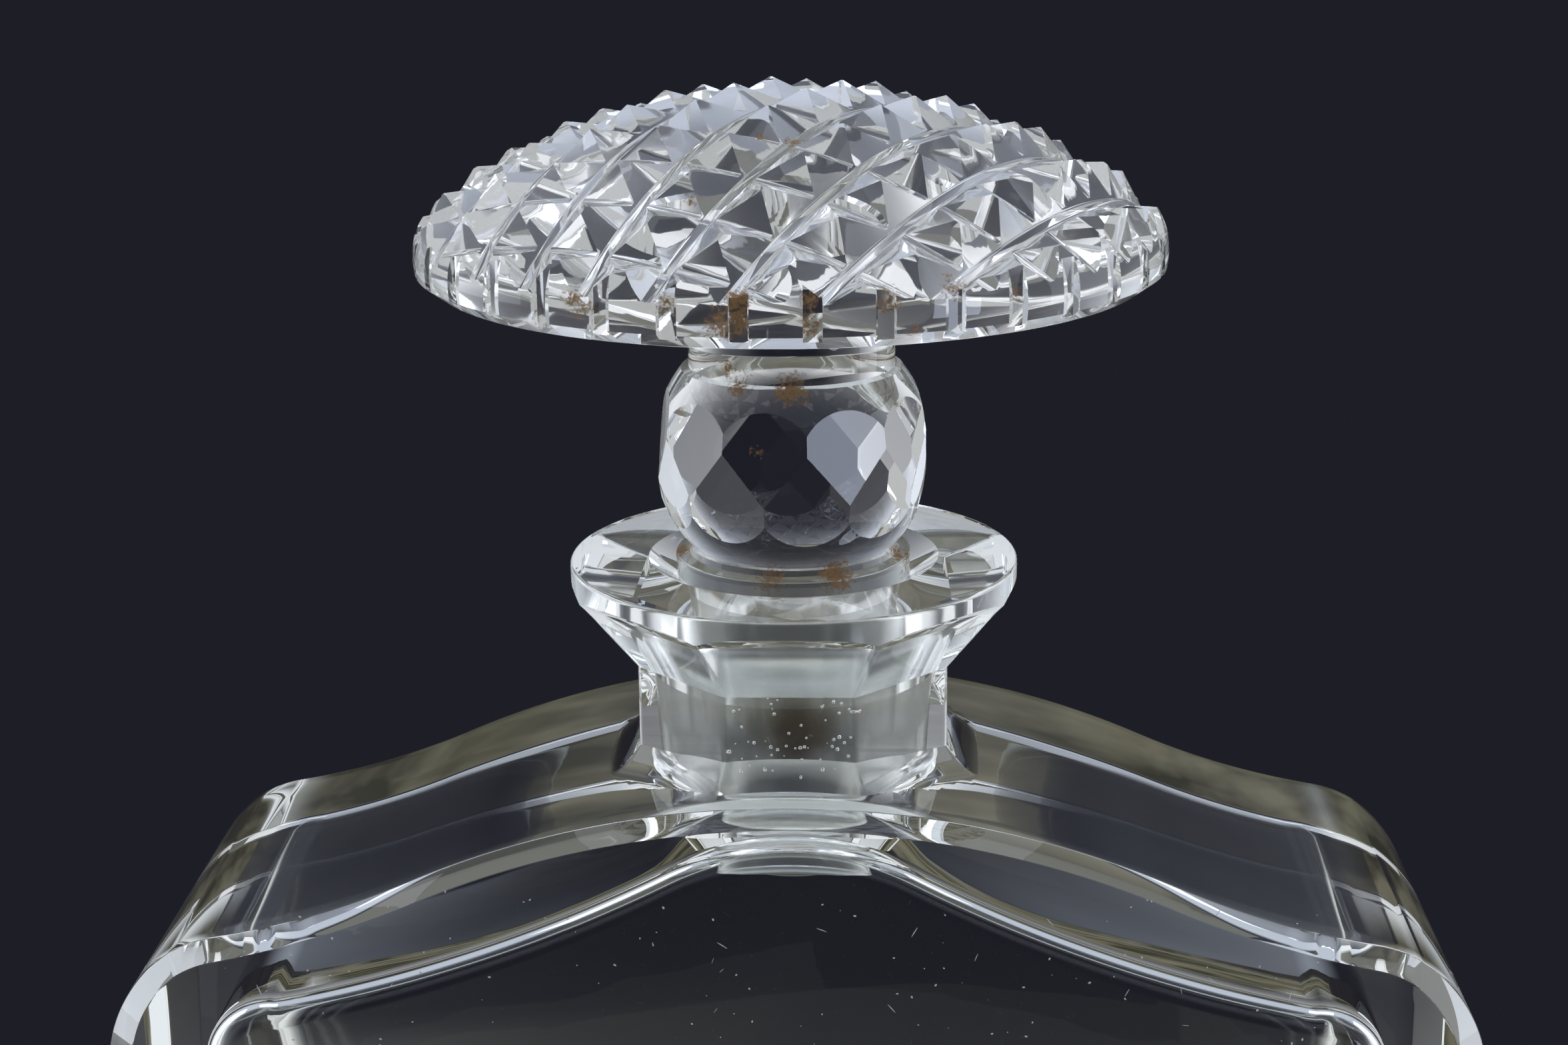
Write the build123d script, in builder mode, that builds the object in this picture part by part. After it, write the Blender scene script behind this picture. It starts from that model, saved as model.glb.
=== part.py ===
from build123d import *
from math import acos, asin, cos, degrees, radians, sin, sqrt, tan
import os

# Cut-glass perfume bottle: a flat flask with ogee shoulders, and a ground stopper
# with a diamond-cut mushroom crown. Millimetres; z = 0 is the face it rests on,
# X runs across the flask, and the front panel faces -Y.

# Flask
body_height = 86.0            # resting face to the top of the shoulders
body_width = 80.8
body_depth = 27.5
base_corner_radius = 6.0
shoulder_crown_radius = 54.0  # convex arc over the middle of the shoulders
shoulder_turn_x = 22.0        # where the shoulders turn from convex to hollow
shoulder_hollow_radius = 50.0
ear_inset = 5.4               # from the side in to the ridge where the shoulder meets the ear
ear_radius = 9.5
panel_bevel = 1.3             # ground bevel round the front and back panels

# Hollow inside the flask
side_wall = 5.4
panel_wall = 4.0
base_thickness = 9.0
ceiling_drop = 2.7            # top of the flask to the highest point of the hollow
ceiling_crown_radius = 16.0
ceiling_turn_x = 8.0
ceiling_hollow_radius = 62.0
hollow_corner_radius = 4.0
hollow_bevel = 2.4            # slope between the hollow's panels and its sides

# Neck and lip
neck_height = 11.4            # top of the flask to the top of the lip
neck_sides = 8
neck_flats = 18.4             # across the flats of the neck
neck_foot = 1.3               # sloped foot where the neck joins the shoulders
flare_start = 5.9             # below the top of the lip, where the neck begins to flare
flare_middle = 4.0
flare_middle_flats = 21.3
lip_radius = 13.4
lip_band = 1.0                # least height of the lip's upright band
lip_edge = 0.25
mouth_radius = 8.7            # sunk ring round the bore
mouth_depth = 1.0

# Ground joint between the stopper's plug and the neck
plug_top_radius = 7.05        # at the top of the lip
plug_length = 18.2            # below the top of the lip
plug_taper = 0.091            # radius lost for each millimetre of depth
plug_chamfer = 0.6
joint_clearance = 0.05        # radial
throat_chamfer = 0.9          # edge where the bore opens into the hollow

# Stopper, measured up from the top of the lip
collar_rise = 0.35
knop_foot = 0.2               # the foot stands this far outside the ball
knop_radius = 8.3
knop_centre = 6.5
knop_bottom = 0.9
knop_top = 11.6
facet_count = 10              # in each of the knop's two rows
facet_reach = 3.5             # from the middle of the knop to where the facets run out
facet_depth = 0.38            # ground off the ball at the middle of a facet
upper_facet_tilt = 7.5        # degrees above level
lower_facet_tilt = -7.0
facet_turn = -10.0            # heading of the first upper facet, in degrees from the front
stem_radius = 6.1
crown_seat = 17.1             # underside of the crown
crown_top = 28.3
crown_radius = 21.85
dome_radius = 37.0
dome_edge_radius = 19.6       # where the dome turns down into the rim
rim_height = 3.1
rim_foot = 0.4
notch_count = 36
notch_width = 1.0
notch_depth = 0.55
notch_turn = 5.0              # heading of the first notch, in degrees from the front

# Diamond cutting: two fans of wheel cuts, about the centre of the dome's ball
cut_angle = 120.0             # between the two sides of a cut
point_relief = 0.05           # the points stand this far below the uncut dome
fan_a_heading = 63.0          # degrees from +X
fan_a_pitch = 7.7             # degrees between cuts
fan_a_first = -0.5
fan_a_land = 0.5              # width of the bottom of each cut
fan_b_heading = -32.0
fan_b_pitch = 6.7
fan_b_first = -0.7
fan_b_land = 0.2
wheel_overrun = 0.3           # the wheel's profile goes on this far outside the dome

# What follows from those sizes
half_width = body_width / 2
ear_x = half_width - ear_inset
hollow_half = half_width - side_wall
ceiling_top = body_height - ceiling_drop
lip_top = body_height + neck_height
seat = lip_top + crown_seat


def ogee(top, crown_r, turn_x, hollow_r, end_x):
    """A convex arc from (0, top) and the hollow arc that carries it on to end_x.

    Returns both centres, the slope where they meet, and the slope and height at end_x.
    """
    slope = degrees(asin(turn_x / crown_r))
    reach = crown_r + hollow_r
    crown = (0, top - crown_r)
    hollow = (reach * sin(radians(slope)), crown[1] + reach * cos(radians(slope)))
    end_slope = degrees(asin((hollow[0] - end_x) / hollow_r))
    return crown, hollow, slope, end_slope, hollow[1] - hollow_r * cos(radians(end_slope))


# Hollow: its own ogee ceiling under the shoulders, with rounded corners and sloped edges
crown_arc, hollow_arc, slope, end_slope, end_z = ogee(
    ceiling_top, ceiling_crown_radius, ceiling_turn_x, ceiling_hollow_radius, hollow_half
)
with BuildPart() as hollow:
    with BuildSketch(Plane.XZ) as hollow_face:
        with BuildLine():
            CenterArc(hollow_arc, ceiling_hollow_radius, 270 - slope, slope - end_slope)
            Line((hollow_half, end_z), (hollow_half, base_thickness))
            mirror(about=Plane.YZ)
            CenterArc(crown_arc, ceiling_crown_radius, 90 - slope, 2 * slope)
            Line((-hollow_half, base_thickness), (hollow_half, base_thickness))
        make_face()
        corners = hollow_face.vertices().group_by(lambda v: round(abs(v.X), 3))[-1]
        fillet(corners, radius=hollow_corner_radius)
    extrude(amount=body_depth / 2 - panel_wall - hollow_bevel, both=True)
    sides = hollow.faces().sort_by(Axis.Y)
    for panel in (sides[0], sides[-1]):
        extrude(panel, amount=hollow_bevel, taper=45)

# Lip: the neck's flats flare out until they run off the edge of the round lip
flare_top_flats = 2 * lip_radius + 1
flare_rise = (flare_middle - lip_band) / (lip_radius - flare_middle_flats / 2)
flare_top = lip_band - flare_rise * (flare_top_flats / 2 - lip_radius)
with BuildPart() as lip:
    for flats, drop in (
        (neck_flats, flare_start),
        (flare_middle_flats, flare_middle),
        (flare_top_flats, flare_top),
    ):
        with BuildSketch(Plane.XY.offset(lip_top - drop)):
            RegularPolygon(flats / 2, neck_sides, major_radius=False, rotation=180 / neck_sides)
    loft(ruled=True)
    extrude(lip.faces().sort_by(Axis.Z)[-1], amount=flare_top)
    with BuildSketch(Plane.XY.offset(lip_top - flare_start)):
        Circle(lip_radius)
    extrude(amount=flare_start, mode=Mode.INTERSECT)
    chamfer(lip.faces().sort_by(Axis.Z)[-1].edges(), length=lip_edge)

# Flask
crown_arc, hollow_arc, slope, end_slope, ear_z = ogee(
    body_height, shoulder_crown_radius, shoulder_turn_x, shoulder_hollow_radius, ear_x
)
ear_lean = degrees(acos((ear_x - half_width + ear_radius) / ear_radius))
ear_arc = (half_width - ear_radius, ear_z - ear_radius * sin(radians(ear_lean)))
with BuildPart() as bottle:
    with BuildSketch(Plane.XZ):
        with BuildLine():
            CenterArc(hollow_arc, shoulder_hollow_radius, 270 - slope, slope - end_slope)
            CenterArc(ear_arc, ear_radius, ear_lean, -ear_lean)
            Line((half_width, ear_arc[1]), (half_width, base_corner_radius))
            CenterArc((half_width - base_corner_radius, base_corner_radius), base_corner_radius, 0, -90)
            mirror(about=Plane.YZ)
            CenterArc(crown_arc, shoulder_crown_radius, 90 - slope, 2 * slope)
            Line((base_corner_radius - half_width, 0), (half_width - base_corner_radius, 0))
        make_face()
    extrude(amount=body_depth / 2 - panel_bevel, both=True)
    sides = bottle.faces().sort_by(Axis.Y)
    for panel in (sides[0], sides[-1]):
        extrude(panel, amount=panel_bevel, taper=45)

    # Neck, rooted in the shoulders, with a sloped foot
    root = Plane.XY.offset(body_height - ceiling_drop / 2)
    foot_rise = ceiling_drop / 2 + neck_foot
    for flats, rise, slope in (
        (neck_flats, lip_top - flare_start - root.origin.Z, 0),
        (neck_flats + 2 * foot_rise, foot_rise, 45),
    ):
        with BuildSketch(root):
            RegularPolygon(flats / 2, neck_sides, major_radius=False, rotation=180 / neck_sides)
        extrude(amount=rise, taper=slope)
    add(lip.part)
    add(hollow.part, mode=Mode.SUBTRACT)

    # Ground bore and the sunk mouth round it
    with BuildSketch(Plane.XZ):
        with BuildLine():
            bore_top = plug_top_radius + joint_clearance
            Polyline(
                (0, lip_top),
                (mouth_radius, lip_top),
                (bore_top - plug_taper * mouth_depth, lip_top - mouth_depth),
                (bore_top - plug_taper * plug_length, lip_top - plug_length),
                (0, lip_top - plug_length),
                close=True,
            )
        make_face()
    revolve(axis=Axis.Z, mode=Mode.SUBTRACT)
    throat = bottle.edges().filter_by(
        lambda e: abs(e.center().X) < bore_top
        and abs(e.center().Y) < bore_top
        and abs(e.center().Z - ceiling_top) < ceiling_drop
    )
    chamfer(throat, length=throat_chamfer)

# Knop: a turned ball, blunt at the belly, ground with two staggered rows of facets
ball_centre = Vector(0, 0, lip_top + knop_centre)
with BuildPart() as knop:
    with BuildSketch(Plane.XZ):
        with BuildLine():
            foot, low, high, cap = (
                (sqrt(knop_radius**2 - rise**2), ball_centre.Z + rise)
                for rise in (
                    knop_bottom - knop_centre,
                    -facet_reach,
                    facet_reach,
                    knop_top - knop_centre,
                )
            )
            Polyline(
                (0, foot[1]),
                foot,
                low,
                (knop_radius, ball_centre.Z - facet_reach / 2),
                (knop_radius, ball_centre.Z + facet_reach / 2),
                high,
                cap,
                (0, cap[1]),
                close=True,
            )
        make_face()
    revolve(axis=Axis.Z)
    for tilt, stagger in ((upper_facet_tilt, 0), (lower_facet_tilt, 180 / facet_count)):
        for k in range(facet_count):
            heading = radians(facet_turn + stagger + k * 360 / facet_count - 90)
            level = cos(radians(tilt))
            normal = (level * cos(heading), level * sin(heading), sin(radians(tilt)))
            facet = Plane(origin=ball_centre, z_dir=normal).offset(knop_radius - facet_depth)
            split(bisect_by=facet, keep=Keep.BOTTOM)

# Crown: a domed cap, crossed by two fans of V cuts and notched round its rim
dome_centre = Vector(0, 0, lip_top + crown_top - dome_radius)
dome_half_angle = asin(dome_edge_radius / dome_radius)
with BuildPart() as crown:
    with BuildSketch(Plane.XZ):
        with BuildLine():
            section = Polyline(
                (0, lip_top + crown_top),
                (0, seat),
                (crown_radius - rim_foot, seat),
                (crown_radius, seat + rim_foot),
                (crown_radius, seat + rim_height),
                (dome_edge_radius, dome_centre.Z + dome_radius * cos(dome_half_angle)),
            )
            dome_middle = Vector(sin(dome_half_angle / 2), cos(dome_half_angle / 2)) * dome_radius
            ThreePointArc(section @ 1, dome_middle + Vector(0, dome_centre.Z), section @ 0)
        make_face()
    revolve(axis=Axis.Z)

    side_slope = tan(radians(cut_angle / 2))
    for heading, pitch, first, land in (
        (fan_a_heading, fan_a_pitch, fan_a_first, fan_a_land),
        (fan_b_heading, fan_b_pitch, fan_b_first, fan_b_land),
    ):
        spacing = dome_radius * radians(pitch)
        depth = point_relief + (spacing - land) / 2 / side_slope
        rim_half = land / 2 + (depth + wheel_overrun) * side_slope
        sideways = Vector(sin(radians(heading)), -cos(radians(heading)), 0)
        steps = int(degrees(asin(crown_radius / dome_radius)) / pitch)
        cuts = []
        for k in range(-steps, steps + 1):
            lean = radians(first + k * pitch)
            axle = sideways * cos(lean) - Vector(0, 0, sin(lean))
            upright = sideways * sin(lean) + Vector(0, 0, cos(lean))
            start = upright.rotate(Axis((0, 0, 0), axle), -50)
            with BuildSketch(Plane(origin=dome_centre, x_dir=start, z_dir=start.cross(axle))):
                with BuildLine():
                    Polyline(
                        (dome_radius - depth, -land / 2),
                        (dome_radius + wheel_overrun, -rim_half),
                        (dome_radius + wheel_overrun, rim_half),
                        (dome_radius - depth, land / 2),
                        close=True,
                    )
                make_face()
            cuts.append(revolve(axis=Axis(dome_centre, axle), revolution_arc=100, mode=Mode.PRIVATE))
        add(cuts, mode=Mode.SUBTRACT)

    notch_spread = notch_width / 2 / notch_depth
    with BuildSketch(Plane.XY.offset(seat)):
        with PolarLocations(crown_radius, notch_count, start_angle=notch_turn - 90):
            Polygon(
                (-notch_depth, 0),
                (notch_depth, -2 * notch_depth * notch_spread),
                (notch_depth, 2 * notch_depth * notch_spread),
                align=None,
            )
    extrude(amount=crown_top - crown_seat, mode=Mode.SUBTRACT)

# Stopper: ground plug, collar and stem turned in one, with the knop and the crown
with BuildPart() as stopper:
    with BuildSketch(Plane.XZ):
        with BuildLine():
            tip = lip_top - plug_length
            tip_radius = plug_top_radius - plug_taper * (plug_length - plug_chamfer)
            foot_radius = sqrt(knop_radius**2 - (knop_centre - knop_bottom) ** 2) + knop_foot
            Polyline(
                (0, tip),
                (tip_radius - plug_chamfer, tip),
                (tip_radius, tip + plug_chamfer),
                (plug_top_radius, lip_top),
                (plug_top_radius, lip_top + collar_rise),
                (foot_radius, lip_top + (collar_rise + knop_bottom) / 2),
                (foot_radius, lip_top + knop_bottom),
                (stem_radius, lip_top + knop_centre),
                (stem_radius, seat + rim_foot),
                (0, seat + rim_foot),
                close=True,
            )
        make_face()
    revolve(axis=Axis.Z)
    add(knop.part)
    add(crown.part)

bottle.part.label = "bottle"
stopper.part.label = "stopper"
os.makedirs("parts", exist_ok=True)
export_step(bottle.part, "parts/bottle.step")
export_step(stopper.part, "parts/stopper.step")
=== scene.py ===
# Perfume bottle with a ground, diamond-cut stopper: the looks of its two pieces

import math

import bmesh
import bpy
from mathutils import Matrix, Vector, noise


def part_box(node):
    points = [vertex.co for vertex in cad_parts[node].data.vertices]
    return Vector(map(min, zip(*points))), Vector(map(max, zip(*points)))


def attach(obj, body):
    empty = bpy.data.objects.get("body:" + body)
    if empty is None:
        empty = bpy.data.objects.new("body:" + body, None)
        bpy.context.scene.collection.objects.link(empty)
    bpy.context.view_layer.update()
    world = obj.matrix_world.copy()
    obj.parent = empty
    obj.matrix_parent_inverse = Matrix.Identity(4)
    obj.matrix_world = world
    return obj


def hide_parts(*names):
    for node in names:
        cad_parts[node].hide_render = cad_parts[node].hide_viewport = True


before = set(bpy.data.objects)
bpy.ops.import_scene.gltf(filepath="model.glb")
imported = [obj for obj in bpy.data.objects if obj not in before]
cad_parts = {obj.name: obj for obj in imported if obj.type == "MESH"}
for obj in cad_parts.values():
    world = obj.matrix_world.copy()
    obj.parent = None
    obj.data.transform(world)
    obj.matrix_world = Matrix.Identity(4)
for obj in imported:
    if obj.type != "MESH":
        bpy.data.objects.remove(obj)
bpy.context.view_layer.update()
print("frame loaded:", sorted(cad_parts))

mm = 0.001
flaskBox = [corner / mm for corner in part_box("bottle")]  # in millimetres, as every size below
lipTop = flaskBox[1].z
halfWidth = flaskBox[1].x
halfDepth = flaskBox[1].y


def hexToLinear(hexColour):
    channels = [int(hexColour[i : i + 2], 16) / 255 for i in (1, 3, 5)]
    linear = [c / 12.92 if c <= 0.04045 else ((c + 0.055) / 1.055) ** 2.4 for c in channels]
    return (*linear, 1)


def addNode(tree, kind, inputs=None, **settings):
    # an input is given as a value, as a socket, or as a node whose first output is meant
    node = tree.nodes.new(kind)
    for name, value in settings.items():
        setattr(node, name, value)
    for key, value in (inputs or {}).items():
        if isinstance(value, bpy.types.Node):
            value = value.outputs[0]
        if isinstance(value, bpy.types.NodeSocket):
            tree.links.new(value, node.inputs[key])
        else:
            node.inputs[key].default_value = value
    return node


def turn(degrees, axis):
    return Matrix.Rotation(math.radians(degrees), 4, axis)


# Camera: stands in front of the bottle and looks down on it a little

view = {
    "distance": 160.4,  # from the middle of the lip
    "azimuth": 2.12,
    "elevation": 16.83,
    "panLeft": 0.2,  # degrees off the middle of the lip
    "tiltUp": 0.66,
    "roll": 0.57,
    "focalLength": 61.2,
    "sensorWidth": 36,
    "nearest": 5,  # what lies nearer to the lens is cut away
}


def makeCamera():
    camera = bpy.data.objects.new("camera", bpy.data.cameras.new("camera"))
    bpy.context.scene.collection.objects.link(camera)
    camera.data.lens = view["focalLength"]
    camera.data.sensor_width = view["sensorWidth"]
    camera.data.clip_start = view["nearest"] * mm
    orbit = Matrix.Translation((0, 0, lipTop * mm)) @ turn(view["azimuth"], "Z")
    arm = turn(90 - view["elevation"], "X") @ Matrix.Translation((0, 0, view["distance"] * mm))
    aim = turn(view["panLeft"], "Y") @ turn(view["tiltUp"], "X") @ turn(-view["roll"], "Z")
    camera.matrix_world = orbit @ arm @ aim
    bpy.context.scene.camera = camera


makeCamera()
print("camera set")

# Studio: a dark cloth in a pale room, three softboxes, a bright window and a round table top

studio = {
    "clothColour": "#1E1E27",
    "tableColour": "#F2F4FA",
    "tableStrength": 1.05,
    # what lies over the table's light: axis of the direction, start and full share, colour
    "surroundings": [
        ("Z", -0.25, 0.05, "#DEE5F2"),  # walls
        ("Y", 0.52, 0.91, "#1E1E27"),  # cloth behind the bottle
        ("Y", -0.45, -0.9, "#1E1E27"),  # the dark behind the camera
        ("Z", 0.12, 0.75, "#C4CCDE"),  # ceiling
    ],
    "floorColour": "#E4E2DD",
    # painted shade: the flat glow of the card where the glass mirrors it
    "floorShadePaintedInGlass": "#6E6E69",
    "floorRoughness": 0.9,
    "floorRadius": 104,
    "floorThickness": 3,
    "floorSegments": 192,
    "floorGap": 0.05,  # keeps the card from touching the glass
}
lamps = {  # radiance, colour, width, height, heading (0 behind, 90 right), elevation, distance
    "topSoftbox": (1.0, "#F2F6FF", 420, 320, 0, 76, 430),
    "leftSoftbox": (1.2, "#EEF3FF", 260, 420, -82, 18, 420),
    "rightSoftbox": (1.2, "#EEF3FF", 220, 420, 84, 14, 420),
    "rightWindow": (5.0, "#DDE8FF", 110, 130, 130, -2, 430),
}


def makeLamp(name, radiance, colour, width, height, heading, elevation, distance):
    data = bpy.data.lights.new(name, "AREA")
    data.shape = "RECTANGLE"
    data.size = width * mm
    data.size_y = height * mm
    data.energy = radiance * math.pi * data.size * data.size_y
    data.color = hexToLinear(colour)[:3]
    lamp = bpy.data.objects.new(name, data)
    bpy.context.scene.collection.objects.link(lamp)
    direction = turn(-heading, "Z") @ turn(elevation, "X") @ Vector((0, 1, 0))
    lamp.location = Vector((0, 0, lipTop * mm)) + direction * distance * mm
    lamp.rotation_euler = direction.to_track_quat("Z", "Y").to_euler()
    lamp.visible_camera = False


def makeWorld():
    # the camera itself sees the cloth on every side
    world = bpy.data.worlds.new("studioWorld")
    bpy.context.scene.world = world
    world.use_nodes = True
    tree = world.node_tree
    tree.nodes.clear()
    place = addNode(tree, "ShaderNodeTexCoord")
    direction = addNode(tree, "ShaderNodeSeparateXYZ", {0: place.outputs["Generated"]})
    colour = [channel * studio["tableStrength"] for channel in hexToLinear(studio["tableColour"])]
    layers = []
    for axis, start, full, paint in studio["surroundings"]:
        share = addNode(
            tree,
            "ShaderNodeMapRange",
            {"Value": direction.outputs[axis], "From Min": start, "From Max": full},
            interpolation_type="SMOOTHSTEP",
        )
        layers.append((share, paint))
    path = addNode(tree, "ShaderNodeLightPath")
    layers.append((path.outputs["Is Camera Ray"], studio["clothColour"]))
    for share, paint in layers:
        mix = addNode(
            tree, "ShaderNodeMix", {0: share, 6: colour, 7: hexToLinear(paint)}, data_type="RGBA"
        )
        colour = mix.outputs[2]
    sky = addNode(tree, "ShaderNodeBackground", {"Color": colour})
    addNode(tree, "ShaderNodeOutputWorld", {"Surface": sky})


# Meshes


def placeObject(name, mesh):
    piece = bpy.data.objects.new(name, mesh)
    bpy.context.scene.collection.objects.link(piece)
    return piece


def finishMesh(name, bm):
    bmesh.ops.recalc_face_normals(bm, faces=bm.faces)
    mesh = bpy.data.meshes.new(name)
    bm.to_mesh(mesh)
    bm.free()
    return placeObject(name, mesh)


def bridgeRings(bm, rings):
    for lower, upper in zip(rings, rings[1:]):
        for i in range(len(lower)):
            j = (i + 1) % len(lower)
            bm.faces.new((lower[i], lower[j], upper[j], upper[i]))


def lathe(name, columns):
    # columns[i] is the profile at angle i: (radius, height above the lip) from pole to pole
    bm = bmesh.new()
    count = len(columns)
    rings = []
    for row in range(1, len(columns[0]) - 1):
        ring = []
        for i, column in enumerate(columns):
            angle = 2 * math.pi * i / count
            radius, z = column[row]
            spot = Vector((radius * math.cos(angle), radius * math.sin(angle), lipTop + z))
            ring.append(bm.verts.new(spot * mm))
        rings.append(ring)
    bridgeRings(bm, rings)
    for row, ring in ((0, rings[0]), (-1, rings[-1])):
        pole = bm.verts.new((0, 0, (lipTop + columns[0][row][1]) * mm))
        for i in range(count):
            bm.faces.new((pole, ring[i], ring[(i + 1) % count]))
    return finishMesh(name, bm)


def arcPoints(centre, radius, start, end, step):
    # points of an arc, both ends included; angles in degrees, step in millimetres
    steps = max(2, math.ceil(radius * math.radians(abs(end - start)) / step))
    spots = []
    for k in range(steps + 1):
        angle = math.radians(start + (end - start) * k / steps)
        spots.append((centre[0] + radius * math.cos(angle), centre[1] + radius * math.sin(angle)))
    return spots


def smoothCurve(spots, steps):
    # a Catmull-Rom curve through the spots
    padded = [spots[0], *spots, spots[-1]]
    curve = []
    for a, b, c, d in zip(padded, padded[1:], padded[2:], padded[3:]):
        for k in range(steps):
            t = k / steps
            curve.append(
                tuple(
                    q
                    + (r - p) * t / 2
                    + (p - 2.5 * q + 2 * r - s / 2) * t**2
                    + (1.5 * q - p / 2 - 1.5 * r + s / 2) * t**3
                    for p, q, r, s in zip(a, b, c, d)
                )
            )
    return curve + [spots[-1]]


def applyModifiers(piece):
    depsgraph = bpy.context.evaluated_depsgraph_get()
    mesh = bpy.data.meshes.new_from_object(piece.evaluated_get(depsgraph))
    piece.modifiers.clear()
    piece.data = mesh


def carve(piece, cutter, operation="DIFFERENCE"):
    boolean = piece.modifiers.new("boolean", "BOOLEAN")
    boolean.operation = operation
    boolean.solver = "MANIFOLD"
    boolean.object = cutter
    applyModifiers(piece)
    bpy.data.objects.remove(cutter)


def polish(piece, sharpAbove):
    piece.data.shade_smooth()
    piece.data.set_sharp_from_angle(angle=math.radians(sharpAbove))


# Flask: a moulded body with ogee shoulders, ground and bevelled front and back

flask = {
    "top": -11.4,  # top of the shoulders, from the top of the lip
    "crownRadius": 54,  # convex arc over the middle of the shoulders
    "turnX": 22,  # where the shoulders turn hollow
    "hollowRadius": 50,
    "earInset": 5.4,  # ridge where the shoulders meet the rounded ears
    "earRadius": 9.5,
    "ridgeReach": 1.4,  # length of the soft turn on each side of the ridge
    "cornerRadius": 6,
    "bevelTop": 0.85,  # width of the ground bevel along the shoulders
    "bevelSide": 1.65,
    "bevelDepth": 1.3,
    "bevelTurn": (7, 8),  # it widens from this far under the top, over this height
    "edgeRound": 0.12,
    "edgeEase": 0.3,  # share of edgeRound that the worn edge runs on over the bevel
    "edgeDip": 0.01,  # how far the bevel stays under the panel at its inner edge
    "step": 0.5,
    "earStep": 0.15,
    "cornerStep": 0.4,
    "sideSteps": 24,
    "depthSteps": 12,
    "sharpAbove": 28,  # degrees between two faces that still meet in an edge
}
cavity = {
    "top": -14.5,
    "crownRadius": 16,
    "turnX": 7.5,
    "hollowRadius": 85,
    "sideWall": 5.4,
    "panelWall": 4,
    "baseThickness": 9,
    "cornerRadius": 4,
    "edgeRound": 1.5,
    "ripple": (0.06, 12),  # unevenness of the blown inner wall, and its length
    "step": 0.5,
    "edgeStep": 0.35,
    "cornerStep": 0.4,
    "sideSteps": 24,
    "depthSteps": 6,
}


def ogee(shape, endX):
    # right half of the shoulders, from the middle out to endX
    slope = math.asin(shape["turnX"] / shape["crownRadius"])
    reach = shape["crownRadius"] + shape["hollowRadius"]
    low = (0, lipTop + shape["top"] - shape["crownRadius"])
    high = (reach * math.sin(slope), low[1] + reach * math.cos(slope))
    endSlope = math.asin((high[0] - endX) / shape["hollowRadius"])
    start, end = (270 - math.degrees(angle) for angle in (slope, endSlope))
    convex = arcPoints(low, shape["crownRadius"], 90, 90 - math.degrees(slope), shape["step"])
    return convex + arcPoints(high, shape["hollowRadius"], start, end, shape["step"])[1:]


def sideWithFoot(shape, x, top, foot):
    # a straight side from top down to the rounded lower corner, whose end is at foot
    radius, steps = shape["cornerRadius"], shape["sideSteps"]
    bottom = foot + radius
    side = [(x, top + (bottom - top) * k / steps) for k in range(1, steps)]
    return side + arcPoints((x - radius, bottom), radius, 0, -90, shape["cornerStep"])


def softCorner(before, corner, after, reach, steps=8):
    # joins two runs of an outline with a soft turn in place of their hard corner
    before = [spot for spot in before if math.dist(spot, corner) > reach]
    after = [spot for spot in after if math.dist(spot, corner) > reach]
    start, middle, end = Vector(before[-1]), Vector(corner), Vector(after[0])
    turnSpots = []
    for k in range(1, steps):
        share = k / steps
        turnSpots.append(tuple(start.lerp(middle, share).lerp(middle.lerp(end, share), share)))
    return before + turnSpots + after


def flaskOutline():
    radius = flask["earRadius"]
    shoulder = ogee(flask, halfWidth - flask["earInset"])
    lean = math.acos((radius - flask["earInset"]) / radius)
    earZ = shoulder[-1][1] - radius * math.sin(lean)
    ear = arcPoints((halfWidth - radius, earZ), radius, math.degrees(lean), 0, flask["earStep"])
    top = softCorner(shoulder, shoulder[-1], ear, flask["ridgeReach"])
    return top + sideWithFoot(flask, halfWidth, earZ, 0)


def cavityOutline():
    half, radius = halfWidth - cavity["sideWall"], cavity["cornerRadius"]
    ceiling = [spot for spot in ogee(cavity, half) if spot[0] < half - radius]
    centre = (half - radius, ceiling[-1][1] - radius)
    upper = arcPoints(centre, radius, 90, 0, cavity["cornerStep"])
    return ceiling + upper + sideWithFoot(cavity, half, centre[1], cavity["baseThickness"])


def slab(name, half, section, ripple=None):
    # closed solid from the right half of its outline. section(spot) lists the steps from the
    # middle to the panel, each as (inset of the outline, distance from the middle)
    outline = half + [(-x, z) for x, z in reversed(half) if x > 1e-6]
    bm = bmesh.new()
    columns = []
    count = len(outline)
    for i, spot in enumerate(outline):
        before, here, after = (Vector(outline[k % count]) for k in (i - 1, i, i + 1))
        edges = (here - before).normalized(), (after - here).normalized()
        inward = [Vector((edge.y, -edge.x)) for edge in edges]
        mitre = (inward[0] + inward[1]) / (1 + inward[0].dot(inward[1]))
        steps = section(spot)
        profile = [(inset, -y) for inset, y in reversed(steps)] + steps
        column = []
        for inset, y in profile:
            moved = here + mitre * inset
            place = Vector((moved.x, y, moved.y))
            if ripple:
                size, length = ripple
                place += Vector((mitre.x, 0, mitre.y)) * size * noise.noise(place / length)
            column.append(bm.verts.new(place * mm))
        columns.append(column)
    rings = list(zip(*columns))
    bridgeRings(bm, rings)
    bm.faces.new(rings[0])
    bm.faces.new(rings[-1])
    return finishMesh(name, bm)


def flaskSection(spot):
    # the bevel is wider down the sides than along the shoulders, and both its edges are worn
    start, height = flask["bevelTurn"]
    blend = min(1, max(0, (lipTop + flask["top"] - start - spot[1]) / height))
    width = flask["bevelTop"] + (flask["bevelSide"] - flask["bevelTop"]) * blend
    depth, r, ease = flask["bevelDepth"], flask["edgeRound"], flask["edgeEase"]
    edge = halfDepth - depth
    steps = [(0, edge * k / flask["depthSteps"]) for k in range(1, flask["depthSteps"])]
    steps += [(0, edge - r), (r * ease * width / depth, edge + r * ease)]
    steps += [(width - r, halfDepth - r * depth / width), (width, halfDepth - flask["edgeDip"])]
    return steps + [(width + r * (1 - ease), halfDepth)]


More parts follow.
